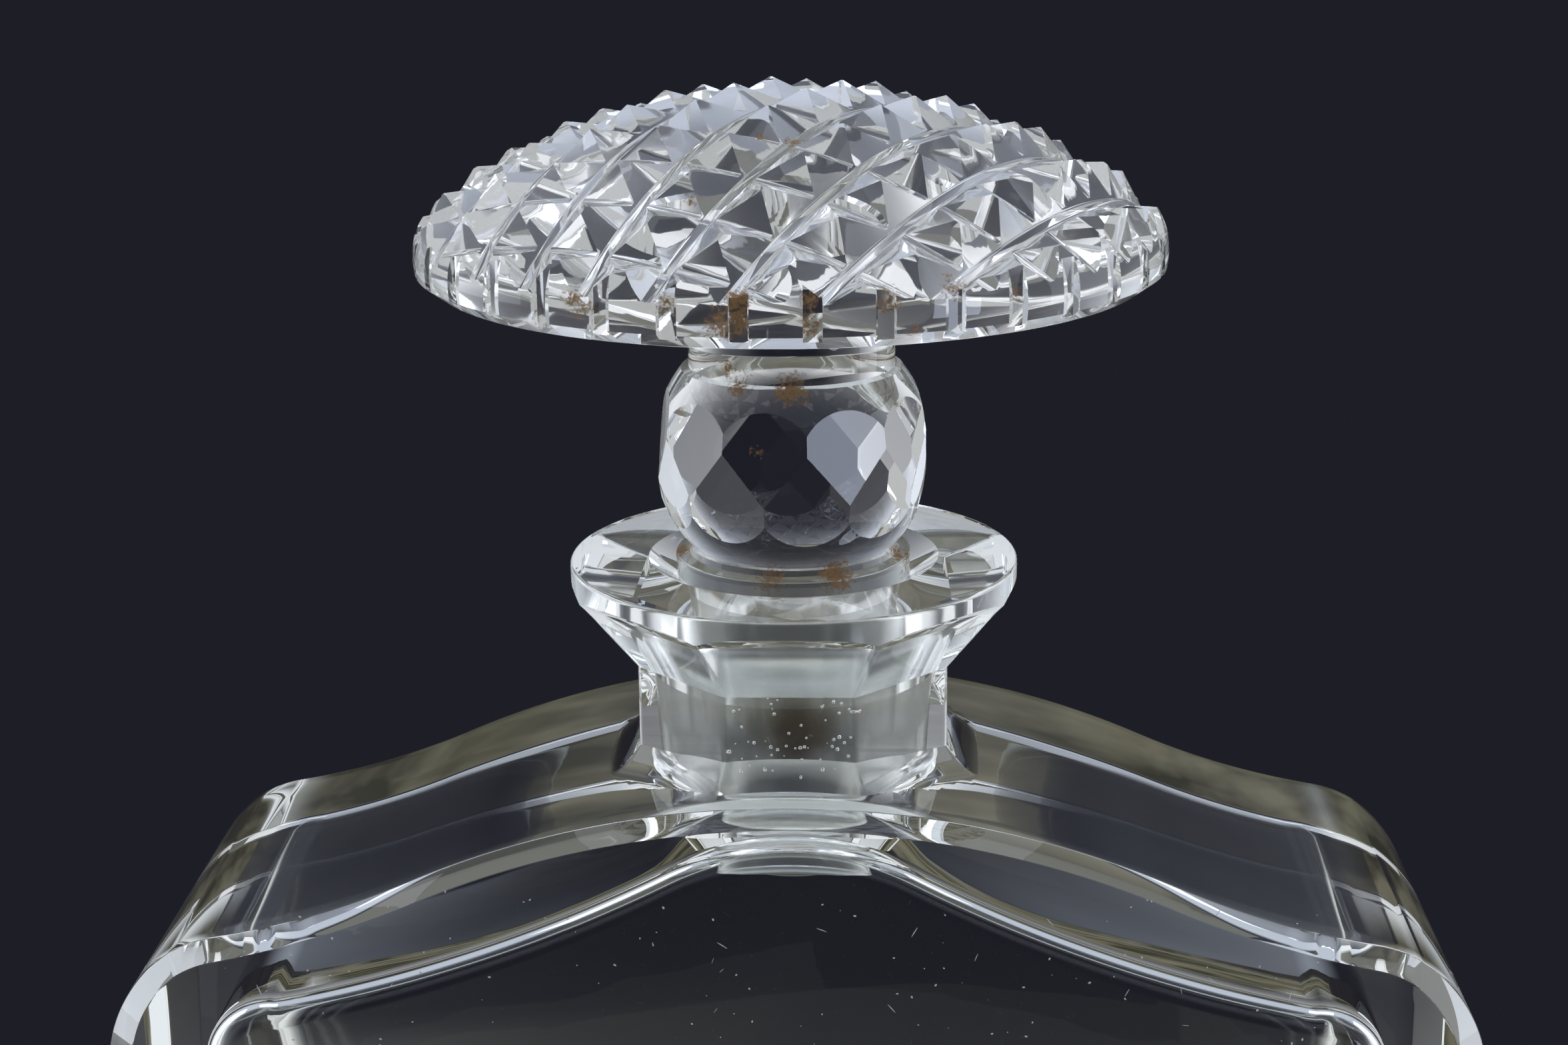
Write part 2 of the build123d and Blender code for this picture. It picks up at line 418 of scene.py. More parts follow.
def cavitySection(spot):
    half = halfDepth - cavity["panelWall"]
    r, count = cavity["edgeRound"], cavity["depthSteps"]
    flat = [(0, (half - r) * k / count) for k in range(1, count)]
    return flat + arcPoints((r, half - r), r, 180, 90, cavity["edgeStep"])


# Neck and lip: eight flats that flare out under the round lip

neck = {
    "sides": 8,
    "flats": 18.4,
    # the foot: a low ring in front and at the back, a wider cove at the sides
    "footHeight": (1.35, 1.75),  # at the sides, in front
    "footReach": (2.2, 0.75),
    "footHollow": (2.2, 0.4),
    "footBlend": 0.7,  # below 1 the ring reaches further round the neck
    "footRoot": (0.5, 1.8),  # depth in the shoulder, at the foot's rim and under the neck
    "footSink": 0.02,
    "flare": [(-5.9, 9.2), (-4.0, 10.63), (-1.72, 12.38), (-1.0, 13.4)],  # height, half flats
    "flareRun": (0.4, 0.8),  # carries the flare on past the lip, which cuts it off
    "lipRadius": 13.4,
    "lipEdge": 0.22,
    "ridgeWear": 0.996,  # the ridges between the flats are worn to this share of their radius
    "mouthRadius": 8.7,
    "mouthDepth": 1.0,
    "boreTop": 7.1,
    "boreTaper": 0.091,
    "boreEnd": -14.6,
    "throatFlare": 1.1,
    "overrun": (3, 0.3),  # of the bore's cutter, into the hollow and over the lip
    "columns": 360,
    "footSteps": 12,
    "flareSteps": 16,
    "curveSteps": 6,
    "lipStep": 0.06,
    "throatStep": 0.15,
}


def neckFoot(angle, half):
    # from the root inside the shoulder out over the ring or the cove to the foot of the flats
    front = max(0, -math.cos(2 * angle)) ** neck["footBlend"]
    rise, width, hollow = (
        side + (ahead - side) * front
        for side, ahead in (neck["footHeight"], neck["footReach"], neck["footHollow"])
    )

    def shoulder(radius):
        return flask["top"] - (radius * math.cos(angle)) ** 2 / 2 / flask["crownRadius"]

    rimRoot, neckRoot = neck["footRoot"]
    column = [(0, shoulder(half) - neckRoot), (half, shoulder(half) - neckRoot)]
    column.append((half + width, shoulder(half + width) - rimRoot))
    for k in range(neck["footSteps"] + 1):
        share = k / neck["footSteps"]
        radius = half + width * (1 - share)
        column.append((radius, shoulder(radius) - neck["footSink"] + rise * share**hollow))
    return column


def neckColumn(angle, flare):
    span = 2 * math.pi / neck["sides"]
    delta = (angle + span / 2) % span - span / 2
    stretch = min(1 / math.cos(delta), neck["ridgeWear"] / math.cos(span / 2))
    lip, edge = neck["lipRadius"], neck["lipEdge"]
    column = neckFoot(angle, neck["flats"] / 2 * stretch)
    outer = [(z, a * stretch) for z, a in flare]
    last = next(k for k, (_, r) in enumerate(outer) if r >= lip)
    (z0, r0), (z1, r1) = outer[last - 1], outer[last]
    bandFoot = z0 + (z1 - z0) * (lip - r0) / (r1 - r0)
    start = outer[0][0]
    for k in range(neck["flareSteps"] + 1):
        z = start + (bandFoot - start) * k / neck["flareSteps"]
        i = next((n for n in range(len(outer) - 1) if outer[n + 1][0] >= z), len(outer) - 2)
        (za, ra), (zb, rb) = outer[i], outer[i + 1]
        column.append((min(lip, ra + (rb - ra) * (z - za) / (zb - za)), z))
    column += arcPoints((lip - edge, -edge), edge, 0, 90, neck["lipStep"])
    return column + [(0, 0)]


def makeNeck():
    flare = smoothCurve(neck["flare"], neck["curveSteps"])
    flare.append(tuple(last + run for last, run in zip(flare[-1], neck["flareRun"])))
    angles = [2 * math.pi * i / neck["columns"] for i in range(neck["columns"])]
    return lathe("neck", [neckColumn(angle, flare) for angle in angles])


def makeBore():
    mouth, depth = neck["mouthRadius"], neck["mouthDepth"]
    top, taper, end = neck["boreTop"], neck["boreTaper"], neck["boreEnd"]
    below, above = neck["overrun"]
    flare = neck["throatFlare"]
    throat = top + taper * end + flare
    profile = [(0, end - below), (throat, end - below), (throat, end)]
    profile += arcPoints((throat, end + flare), flare, 270, 180, neck["throatStep"])[1:]
    profile += [(top - taper * depth, -depth), (mouth, 0), (mouth + above, above), (0, above)]
    return lathe("bore", [profile] * neck["columns"])


def makeFlask():
    body = slab("flaskGlass", flaskOutline(), flaskSection)
    carve(body, makeNeck(), "UNION")
    print("neck joined to the body")
    carve(body, slab("hollow", cavityOutline(), cavitySection, cavity["ripple"]))
    carve(body, makeBore())
    print("hollow and bore cut")
    polish(body, flask["sharpAbove"])
    return body


# Stopper: turned in one piece, then cut on the wheel

stopper = {
    "plugTop": 7.05,
    "plugTaper": 0.091,
    "plugEnd": -18.2,
    "plugChamfer": 0.25,
    "groundTop": -1,  # the ground skin of the plug ends here
    "collar": 0.35,
    "collarRound": 0.12,
    "knopFoot": 6.33,
    "knopBottom": 0.9,
    "knopTop": 11.6,
    "knopCentre": 6.5,
    "knopRadius": 8.3,
    "knopEdge": 0.1,
    "stem": 6.1,
    "stemCove": 0.25,
    "seat": 17.1,
    "rimFoot": 20.75,
    "rimChamfer": (0.08, 0.05),
    "rim": [(21.75, 17.9), (21.82, 18.6), (21.74, 19.6), (21.4, 20.6), (20.8, 21.6), (19.9, 22.47)],
    "domeRadius": 37,
    "domeTop": 28.27,
    "segments": 360,
    "collarStep": 0.05,
    "knopStep": 0.3,
    "rimSteps": 3,
    "domeStep": 0.4,
    "sharpAbove": 14,
}
facets = {
    "count": 10,
    "depth": 0.54,
    "tilts": (7.5, -7.5),  # of the upper and the lower row
    "turn": -10,
    "thickness": 1.4,
    "width": 7,
}
notches = {"count": 36, "width": 1.0, "depth": 0.5, "turn": 5, "foot": 17.55, "height": 6}
fans = {
    # heading, degrees between cuts, lean of the middle cut, width of the cut's bottom
    "fanA": {"heading": 63, "pitch": 7.7, "first": -0.5, "land": 0.55},
    "fanB": {"heading": -32, "pitch": 6.7, "first": -0.7, "land": 0.3},
}
wheel = {
    "angle": 120,
    "relief": 0.05,
    "overrun": 0.6,
    "rounding": 0.6,  # share of the bottom's width
    "roundingSteps": 4,
    "grit": 0.012,  # unevenness of the wheel's edge, which leaves lines along the cut
    "seed": 7,
    "sweep": 90,
    "steps": 140,
}


def stopperProfile():
    s = stopper
    end, chamfer, soft, cove = s["plugEnd"], s["plugChamfer"], s["collarRound"], s["stemCove"]
    tip = s["plugTop"] + s["plugTaper"] * (end + chamfer)
    low, high = (
        math.degrees(math.asin((z - s["knopCentre"]) / s["knopRadius"]))
        for z in (s["knopBottom"], s["knopTop"])
    )
    domeCentre = (0, s["domeTop"] - s["domeRadius"])
    domeEdge = math.degrees(math.acos(s["rim"][-1][0] / s["domeRadius"]))
    inset, rise = s["rimChamfer"]
    profile = [(0, end), (tip - chamfer, end), (tip - chamfer * 0.1, end + chamfer * 0.75)]
    profile += [(tip, end + chamfer), (s["plugTop"], 0)]
    collarCentre = (s["plugTop"] - soft, s["collar"] - soft)
    profile += arcPoints(collarCentre, soft, 0, 90, s["collarStep"])
    profile += [(s["knopFoot"], s["collar"] + soft)]
    profile += [(s["knopFoot"] - s["knopEdge"], s["knopBottom"] - s["knopEdge"])]
    profile += arcPoints((0, s["knopCentre"]), s["knopRadius"], low, high, s["knopStep"])
    profile += [(s["stem"], s["knopTop"] + soft), (s["stem"], s["seat"] - cove)]
    profile += [(s["stem"] + cove, s["seat"]), (s["rimFoot"] - inset, s["seat"])]
    profile += [(s["rimFoot"], s["seat"] + rise)]
    profile += smoothCurve(s["rim"], s["rimSteps"])
    profile += arcPoints(domeCentre, s["domeRadius"], domeEdge, 90, s["domeStep"])[1:-1]
    return profile + [(0, s["domeTop"])]


def newTree(name, labels):
    # a geometry tree with named inputs: returns it, the inputs' sockets and their identifiers
    tree = bpy.data.node_groups.new(name, "GeometryNodeTree")
    tree.interface.new_socket("Geometry", in_out="INPUT", socket_type="NodeSocketGeometry")
    tree.interface.new_socket("Geometry", in_out="OUTPUT", socket_type="NodeSocketGeometry")
    identifiers = {}
    for label, kind in labels.items():
        socket = tree.interface.new_socket(label, in_out="INPUT", socket_type="NodeSocket" + kind)
        identifiers[label] = socket.identifier
    return tree, tree.nodes.new("NodeGroupInput").outputs, identifiers


def endTree(tree, shape, material, faces=True):
    solid = addNode(tree, "GeometryNodeRealizeInstances", {"Geometry": shape})
    done = addNode(
        tree,
        "GeometryNodeSetMaterial",
        {"Geometry": solid, "Selection": faces, "Material": material},
    )
    addNode(tree, "NodeGroupOutput", {"Geometry": done})


def runTree(piece, tree, identifiers, values):
    modifier = piece.modifiers.new(tree.name, "NODES")
    modifier.node_group = tree
    for label, value in values.items():
        modifier[identifiers[label]] = value
    applyModifiers(piece)


def cutInTurns(tree, shape, spots, tool, rotation):
    # cuts with the tool at every second spot first and then at those between them, because
    # tools side by side overlap and one cut wants tools that don't
    index = addNode(tree, "GeometryNodeInputIndex")
    odd = addNode(tree, "ShaderNodeMath", {0: index, 1: 2.0}, operation="MODULO")
    even = addNode(tree, "ShaderNodeMath", {0: 1.0, 1: odd}, operation="SUBTRACT")
    for chosen in (even, odd):
        tools = addNode(
            tree,
            "GeometryNodeInstanceOnPoints",
            {"Points": spots, "Selection": chosen, "Instance": tool, "Rotation": rotation},
        )
        solid = addNode(tree, "GeometryNodeRealizeInstances", {"Geometry": tools})
        shape = addNode(
            tree,
            "GeometryNodeMeshBoolean",
            {"Mesh 1": shape, "Mesh 2": solid},
            operation="DIFFERENCE",
            solver="MANIFOLD",
        )
    return shape


def wheelTree():
    # one fan of wheel cuts: every cut lies in a plane through the dome's middle, and the
    # planes turn about one level axis
    labels = {
        "Centre Height": "Float",
        "Dome Radius": "Float",
        "Heading": "Float",
        "Pitch": "Float",
        "First": "Float",
        "Land": "Float",
        "Depth": "Float",
        "Rim Width": "Float",
        "Overrun": "Float",
        "Rounding": "Float",
        "Rounding Steps": "Int",
        "Grit": "Float",
        "Seed": "Int",
        "Sweep": "Float",
        "Steps": "Int",
        "Cuts": "Int",
        "Material": "Material",
    }
    tree, value, identifiers = newTree("wheelCuts", labels)

    # the wheel's edge: a wedge with a rounded, slightly uneven bottom
    height = addNode(
        tree, "ShaderNodeMath", {0: value["Depth"], 1: value["Overrun"]}, operation="ADD"
    )
    wedge = addNode(
        tree,
        "GeometryNodeCurvePrimitiveQuadrilateral",
        {
            "Height": height,
            "Bottom Width": value["Rim Width"],
            "Top Width": value["Land"],
            "Offset": 0.0,
        },
        mode="TRAPEZOID",
    )
    inward = addNode(
        tree, "GeometryNodeTransform", {"Geometry": wedge, "Rotation": (0, 0, math.pi / 2)}
    )
    rounded = addNode(
        tree,
        "GeometryNodeFilletCurve",
        {
            "Curve": inward,
            "Count": value["Rounding Steps"],
            "Radius": value["Rounding"],
            "Limit Radius": True,
        },
        mode="POLY",
    )
    grains = addNode(
        tree,
        "FunctionNodeRandomValue",
        {0: (-1, -1, 0), 1: (1, 1, 0), "Seed": value["Seed"]},
        data_type="FLOAT_VECTOR",
    )
    scratches = addNode(
        tree, "ShaderNodeVectorMath", {0: grains, "Scale": value["Grit"]}, operation="SCALE"
    )
    edge = addNode(tree, "GeometryNodeSetPosition", {"Geometry": rounded, "Offset": scratches})

    # its path: the profile is centred on the arc, which runs half a profile above the bottom
    bottom = addNode(
        tree, "ShaderNodeMath", {0: value["Dome Radius"], 1: value["Depth"]}, operation="SUBTRACT"
    )
    halfHeight = addNode(tree, "ShaderNodeMath", {0: height, 1: 0.5}, operation="MULTIPLY")
    middle = addNode(tree, "ShaderNodeMath", {0: bottom, 1: halfHeight}, operation="ADD")
    halfSweep = addNode(tree, "ShaderNodeMath", {0: value["Sweep"], 1: 0.5}, operation="MULTIPLY")
    start = addNode(tree, "ShaderNodeMath", {0: math.pi / 2, 1: halfSweep}, operation="SUBTRACT")
    arc = addNode(
        tree,
        "GeometryNodeCurveArc",
        {
            "Resolution": value["Steps"],
            "Radius": middle,
            "Start Angle": start,
            "Sweep Angle": value["Sweep"],
        },
        mode="RADIUS",
    )
    sweep = addNode(
        tree,
        "GeometryNodeCurveToMesh",
        {"Curve": arc, "Profile Curve": edge, "Fill Caps": True},
    )
    upright = addNode(tree, "ShaderNodeCombineXYZ", {"X": math.pi / 2, "Z": value["Heading"]})
    tool = addNode(tree, "GeometryNodeTransform", {"Geometry": sweep, "Rotation": upright})

    # the lean of each cut about the fan's axis
    along = addNode(tree, "ShaderNodeMath", {0: value["Heading"]}, operation="COSINE")
    across = addNode(tree, "ShaderNodeMath", {0: value["Heading"]}, operation="SINE")
    axis = addNode(tree, "ShaderNodeCombineXYZ", {"X": along, "Y": across})
    index = addNode(tree, "GeometryNodeInputIndex")
    last = addNode(tree, "ShaderNodeMath", {0: value["Cuts"], 1: 1.0}, operation="SUBTRACT")
    halfway = addNode(tree, "ShaderNodeMath", {0: last, 1: 0.5}, operation="MULTIPLY")
    centred = addNode(tree, "ShaderNodeMath", {0: index, 1: halfway}, operation="SUBTRACT")
    spread = addNode(tree, "ShaderNodeMath", {0: centred, 1: value["Pitch"]}, operation="MULTIPLY")
    lean = addNode(tree, "ShaderNodeMath", {0: value["First"], 1: spread}, operation="ADD")
    rotation = addNode(tree, "FunctionNodeAxisAngleToRotation", {"Axis": axis, "Angle": lean})
    place = addNode(tree, "ShaderNodeCombineXYZ", {"Z": value["Centre Height"]})
    spots = addNode(tree, "GeometryNodePoints", {"Count": value["Cuts"], "Position": place})
    shape = cutInTurns(tree, value["Geometry"], spots, tool, rotation)
    endTree(tree, shape, value["Material"])
    return tree, identifiers


def ringTree():
    # a ring of equal cuts round the piece: the knop's facets and the rim's notches
    labels = {
        "Centre Height": "Float",
        "Distance": "Float",
        "Tilt": "Float",
        "Turn": "Float",
        "Count": "Int",
        "Block": "Vector",
        "Material": "Material",
    }
    tree, value, identifiers = newTree("ringCuts", labels)
    block = addNode(tree, "GeometryNodeMeshCube", {"Size": value["Block"]})
    reach = addNode(tree, "ShaderNodeCombineXYZ", {"X": value["Distance"]})
    tool = addNode(tree, "GeometryNodeTransform", {"Geometry": block, "Translation": reach})
    index = addNode(tree, "GeometryNodeInputIndex")
    step = addNode(
        tree, "ShaderNodeMath", {0: 2 * math.pi, 1: value["Count"]}, operation="DIVIDE"
    )
    advance = addNode(tree, "ShaderNodeMath", {0: index, 1: step}, operation="MULTIPLY")
    heading = addNode(tree, "ShaderNodeMath", {0: value["Turn"], 1: advance}, operation="ADD")
    upward = addNode(tree, "ShaderNodeMath", {0: value["Tilt"], 1: -1.0}, operation="MULTIPLY")
    rotation = addNode(tree, "ShaderNodeCombineXYZ", {"Y": upward, "Z": heading})
    place = addNode(tree, "ShaderNodeCombineXYZ", {"Z": value["Centre Height"]})
    spots = addNode(tree, "GeometryNodePoints", {"Count": value["Count"], "Position": place})
    shape = cutInTurns(tree, value["Geometry"], spots, tool, rotation)
    endTree(tree, shape, value["Material"])
    return tree, identifiers


def cutRing(piece, tools, height, distance, tilt, heading, count, block, glass):
    # heading is counted from the front of the bottle
    values = {
        "Centre Height": (lipTop + height) * mm,
        "Distance": distance * mm,
        "Tilt": math.radians(tilt),
        "Turn": math.radians(heading - 90),
        "Count": count,
        "Block": [side * mm for side in block],
        "Material": glass,
    }
    runTree(piece, *tools, values)


def cutKnop(piece, tools, glass):
    centre, radius = stopper["knopCentre"], stopper["knopRadius"]
    thickness, width = facets["thickness"], facets["width"]
    distance = radius - facets["depth"] + thickness / 2
    block = [thickness, width, width]
    for row, tilt in enumerate(facets["tilts"]):
        heading = facets["turn"] + row * 180 / facets["count"]  # the rows are staggered
        cutRing(piece, tools, centre, distance, tilt, heading, facets["count"], block, glass)
    print("knop faceted")


def cutRim(piece, tools, glass):
    width, depth, height = notches["width"], notches["depth"], notches["height"]
    centre = notches["foot"] + height / 2
    distance = stopper["rim"][1][0] + width
    block = [2 * (width + depth), width, height]
    cutRing(piece, tools, centre, distance, 0, notches["turn"], notches["count"], block, glass)
    print("rim notched")


def cutCrown(piece, tools, glass):
    slope = math.tan(math.radians(wheel["angle"] / 2))
    radius = stopper["domeRadius"]
    reach = math.degrees(math.asin(stopper["rim"][1][0] / radius))
    for name, fan in fans.items():
        spacing = radius * math.radians(fan["pitch"])
        depth = wheel["relief"] + (spacing - fan["land"]) / 2 / slope
        values = {
            "Centre Height": (lipTop + stopper["domeTop"] - radius) * mm,
            "Dome Radius": radius * mm,
            "Heading": math.radians(fan["heading"]),
            "Pitch": math.radians(fan["pitch"]),
            "First": math.radians(fan["first"]),
            "Land": fan["land"] * mm,
            "Depth": depth * mm,
            "Rim Width": (fan["land"] + 2 * (depth + wheel["overrun"]) * slope) * mm,
            "Overrun": wheel["overrun"] * mm,
            "Rounding": fan["land"] * wheel["rounding"] * mm,
            "Rounding Steps": wheel["roundingSteps"],
            "Grit": wheel["grit"] * mm,
            "Seed": wheel["seed"],
            "Sweep": math.radians(wheel["sweep"]),
            "Steps": wheel["steps"],
            "Cuts": 2 * int(reach / fan["pitch"]) + 1,
            "Material": glass,
        }
        runTree(piece, *tools, values)
        print(name, "cut:", len(piece.data.polygons), "faces")


def makeStopper(glass):
    piece = lathe("stopperGlass", [stopperProfile()] * stopper["segments"])
    print("stopper turned")
    ringTools = ringTree()
    cutKnop(piece, ringTools, glass)
    cutRim(piece, ringTools, glass)
    cutCrown(piece, wheelTree(), glass)
    polish(piece, stopper["sharpAbove"])
    return piece


# Small things in and on the flask: radius in mm, height from the top of the lip

bubbles = {
    "count": 55,
    "seed": 11,
    "lowest": (-3.6, -8.7, -11.2),
    "highest": (3.6, -6.9, -6.2),
    "smallest": 0.04,
    "largest": 0.14,
    "stretch": (1, 1, 1),
    "roundness": 2,
    "hollow": True,
}
dustOnPanel = {
    "count": 420,
    "seed": 5,
    "lowest": (-33, -13.755, -74),
    "highest": (33, -13.75, -16),
    "smallest": 0.03,
    "largest": 0.11,
    "stretch": (1, 0.15, 0.6),
    "roundness": 1,
    "hollow": False,
}
fibresOnPanel = {
    "count": 110,
    "seed": 3,
    "lowest": (-31, -13.755, -72),
    "highest": (31, -13.75, -17),
    "smallest": 0.15,
    "largest": 0.5,
    "stretch": (1, 0.04, 0.07),
    "roundness": 1,
    "hollow": False,
}


def inclusionTree():
    # small balls strewn in a box: bubbles inside the glass, or dust on it
    labels = {
        "Count": "Int",
        "Seed": "Int",
        "Lowest": "Vector",
        "Highest": "Vector",
        "Smallest": "Float",
        "Largest": "Float",
        "Stretch": "Vector",
        "Roundness": "Int",
        "Hollow": "Bool",
        "Material": "Material",
    }
    tree, value, identifiers = newTree("inclusions", labels)
    seeds = [
        addNode(tree, "ShaderNodeMath", {0: value["Seed"], 1: shift}, operation="ADD")
        for shift in (0.0, 1.0, 2.0)
    ]
    place = addNode(
        tree,
        "FunctionNodeRandomValue",
        {0: value["Lowest"], 1: value["Highest"], "Seed": seeds[0]},
        data_type="FLOAT_VECTOR",
    )
    size = addNode(
        tree,
        "FunctionNodeRandomValue",
        {2: value["Smallest"], 3: value["Largest"], "Seed": seeds[1]},
        data_type="FLOAT",
    )
    angle = addNode(
        tree, "FunctionNodeRandomValue", {2: 0.0, 3: math.pi, "Seed": seeds[2]}, data_type="FLOAT"
    )
    spots = addNode(tree, "GeometryNodePoints", {"Count": value["Count"], "Position": place})
    ball = addNode(
        tree, "GeometryNodeMeshIcoSphere", {"Radius": 1.0, "Subdivisions": value["Roundness"]}
    )
    turned = addNode(tree, "GeometryNodeFlipFaces", {"Mesh": ball, "Selection": value["Hollow"]})
    smooth = addNode(tree, "GeometryNodeSetShadeSmooth", {"Geometry": turned})
    marked = addNode(tree, "GeometryNodeCaptureAttribute", domain="FACE")
    marked.capture_items.new("BOOLEAN", "Strewn")
    marked.inputs["Strewn"].default_value = True
    tree.links.new(smooth.outputs[0], marked.inputs["Geometry"])
    scale = addNode(
        tree,
        "ShaderNodeVectorMath",
        {0: value["Stretch"], "Scale": size.outputs[1]},
        operation="SCALE",
    )
    rotation = addNode(tree, "ShaderNodeCombineXYZ", {"Y": angle.outputs[1]})
    strewn = addNode(
        tree,
        "GeometryNodeInstanceOnPoints",
        {"Points": spots, "Instance": marked, "Scale": scale, "Rotation": rotation},
    )
    both = addNode(tree, "GeometryNodeJoinGeometry")
    for shape in (value["Geometry"], strewn.outputs[0]):
        tree.links.new(shape, both.inputs[0])
    endTree(tree, both, value["Material"], marked.outputs["Strewn"])
    return tree, identifiers


def strew(piece, tools, group, material):
    lowest, highest = (
        [x * mm, y * mm, (lipTop + z) * mm] for x, y, z in (group["lowest"], group["highest"])
    )
    values = {
        "Count": group["count"],
        "Seed": group["seed"],
        "Lowest": lowest,
        "Highest": highest,
        "Smallest": group["smallest"] * mm,
        "Largest": group["largest"] * mm,
        "Stretch": group["stretch"],
        "Roundness": group["roundness"],
        "Hollow": group["hollow"],
        "Material": material,
    }
    runTree(piece, *tools, values)


# Materials

finishes = {  # roughness, share of the light that passes the skin unscattered
    "polished": (0.0, 1.0),
    "wheelCut": (0.03, 0.97),
    "ground": (0.13, 0.9),
}
depths = {
    "turns": 3.5,  # after so many mirrorings inside the glass a painted glow takes over
    "crossings": 10.5,  # or after so many walls in all
    "lipFade": 2,  # mm on either side of the foot of the flare
    "cloudRange": (0.35, 0.65),
}
grime = {
    "grain": 0.28,  # mm
    "start": 0.56,
    "full": 0.74,
    "gather": 0.45,  # how much thicker the grains lie in the middle of a deposit
    "dark": "#3E2812",
    "light": "#B98A52",
    "roughness": 0.8,
    "clarity": 0.25,
}
fluff = {"colour": "#D6D3D0", "roughness": 1.0, "cover": 0.9}
flaskLook = {
    "deposits": [],
    "stains": [],
    "tint": "#F6F8F4",
    # painted glow for deep paths in the flask: dark olive, clouded lighter
    "paintedGlowColour": "#3B3A31",
    "paintedGlowCloudColour": "#747262",
    "cloudLength": 9,
    "paintedLipGlowColour": "#F2F8FF",  # painted light: a glow in place of the light gathered under the lip, and partly in the ears
    "paintedEarGlowShare": 0.95,
    "refraction": 1.545,
    "rippleStrength": 0.05,
    "rippleLength": 9,  # mm
    "rippleHeight": 0.2,
}
stopperLook = {
    # x, y, height over the lip, radius, amount
    "deposits": [
        (-10.5, -19.0, 19.4, 0.9, 0.55),
        (-9.9, -19.4, 18.9, 0.8, 0.5),
        (-5.5, -20.6, 19.4, 0.8, 0.55),
        (-1.9, -21.2, 19.7, 1.0, 0.8),
        (-1.9, -21.2, 18.7, 1.0, 0.85),
        (-2.7, -21.6, 18.6, 1.3, 0.55),
        (1.7, -21.2, 19.7, 0.8, 0.6),
        (1.7, -21.2, 18.5, 0.9, 0.6),
        (5.7, -20.5, 19.6, 0.9, 0.55),
        (7.0, -20.6, 18.0, 0.5, 0.6),
        (9.0, -19.1, 20.0, 0.9, 0.5),
        (12.1, -17.5, 19.3, 0.8, 0.5),
        (-1.3, -8.2, 26.0, 0.6, 0.55),
        (0.5, -8.6, 25.9, 0.8, 0.55),
        (-4.6, -15.0, 23.8, 0.7, 0.4),
        (-3.4, -5.1, 12.5, 0.7, 0.55),
        (-2.8, -5.9, 11.7, 1.0, 0.6),
        (0.2, -6.5, 11.6, 1.3, 0.75),
        (-1.8, -7.5, 8.2, 0.5, 0.4),
        (-6.9, -0.8, 0.35, 1.6, 0.6),
        (-1.1, -6.6, 0.4, 1.1, 0.6),
        (2.7, -6.0, 0.45, 1.4, 0.75),
        (6.3, -1.6, 0.4, 1.6, 0.55),
    ],
    "stains": [
        (0.2, -6.4, -8.3, 4.2, 0.65, "#9A8862"),
        (0.6, -6.4, -8.5, 2.6, 0.7, "#74501F"),
        (0, 0, 15.6, 6.8, 0.7, "#B8A474"),
        (0, -6.5, 0.3, 4.5, 0.5, "#C9B48A"),
        (0, 0, -18.6, 6.5, 0.5, "#C8B078"),
    ],
    "tint": "#F8F9F7",
    # painted glow for deep paths in the stopper, mostly its lip colour
    "paintedGlowColour": "#8E8E8A",
    "paintedGlowCloudColour": "#CFCFC8",
    "cloudLength": 3,
    "paintedLipGlowColour": "#B6B8B8",
    "paintedEarGlowShare": 0.0,
    "refraction": 1.545,
    "rippleStrength": 0.03,
    "rippleLength": 5,  # mm
    "rippleHeight": 0.2,
}


def newMaterial(name):
    material = bpy.data.materials.new(name)
    material.use_nodes = True
    material.node_tree.nodes.clear()
    return material, material.node_tree


def nearSpot(tree, place, x, y, z, radius, amount, core=0.0, **settings):
    # 0 outside the radius round a spot, and the amount inside the core's share of the radius
    away = addNode(
        tree,
        "ShaderNodeVectorMath",
        {0: place, 1: (x * mm, y * mm, (lipTop + z) * mm)},
        operation="DISTANCE",
    )
    return addNode(
        tree,
        "ShaderNodeMapRange",
        {
            "Value": away.outputs["Value"],
            "From Min": radius * mm,
            "From Max": radius * core * mm,
            "To Max": amount,
        },
        **settings,
    )


def stained(tree, place, look):
    # the tint of the glass, browned where scent has dried behind it
    tint = hexToLinear(look["tint"])
    for *spot, colour in look["stains"]:
        near = nearSpot(tree, place, *spot, core=0.3, interpolation_type="SMOOTHSTEP")
        mix = addNode(
            tree, "ShaderNodeMix", {0: near, 6: tint, 7: hexToLinear(colour)}, data_type="RGBA"
        )
        tint = mix.outputs[2]
    return tint


def deposits(tree, place, spots):
    # dried scent and dirt in the cuts: rust-brown grains that thin out round each spot
    total = nearSpot(tree, place, *spots[0])
    for spot in spots[1:]:
        near = nearSpot(tree, place, *spot)
        total = addNode(tree, "ShaderNodeMath", {0: total, 1: near}, operation="MAXIMUM")
    grains = addNode(
        tree,
        "ShaderNodeTexNoise",
        {"Vector": place, "Scale": 1 / (grime["grain"] * mm), "Detail": 5.0, "Roughness": 0.7},
    )
    gathered = addNode(
        tree, "ShaderNodeMath", {0: total, 1: grime["gather"]}, operation="MULTIPLY"
    )
    thickness = addNode(
        tree, "ShaderNodeMath", {0: grains.outputs["Fac"], 1: gathered}, operation="ADD"
    )
    rough = addNode(
        tree,
        "ShaderNodeMapRange",
        {"Value": thickness, "From Min": grime["start"], "From Max": grime["full"]},
    )
    inside = addNode(tree, "ShaderNodeMath", {0: total, 1: 0.001}, operation="GREATER_THAN")
    cover = addNode(tree, "ShaderNodeMath", {0: rough, 1: inside}, operation="MULTIPLY")
    tone = addNode(
        tree,
        "ShaderNodeMix",
        {0: grains.outputs["Fac"], 6: hexToLinear(grime["dark"]), 7: hexToLinear(grime["light"])},
        data_type="RGBA",
    )
    crust = addNode(
        tree,
        "ShaderNodeBsdfPrincipled",
        {
            "Base Color": tone.outputs[2],
            "Roughness": grime["roughness"],
            "Transmission Weight": grime["clarity"],
        },
    )
    return cover, crust


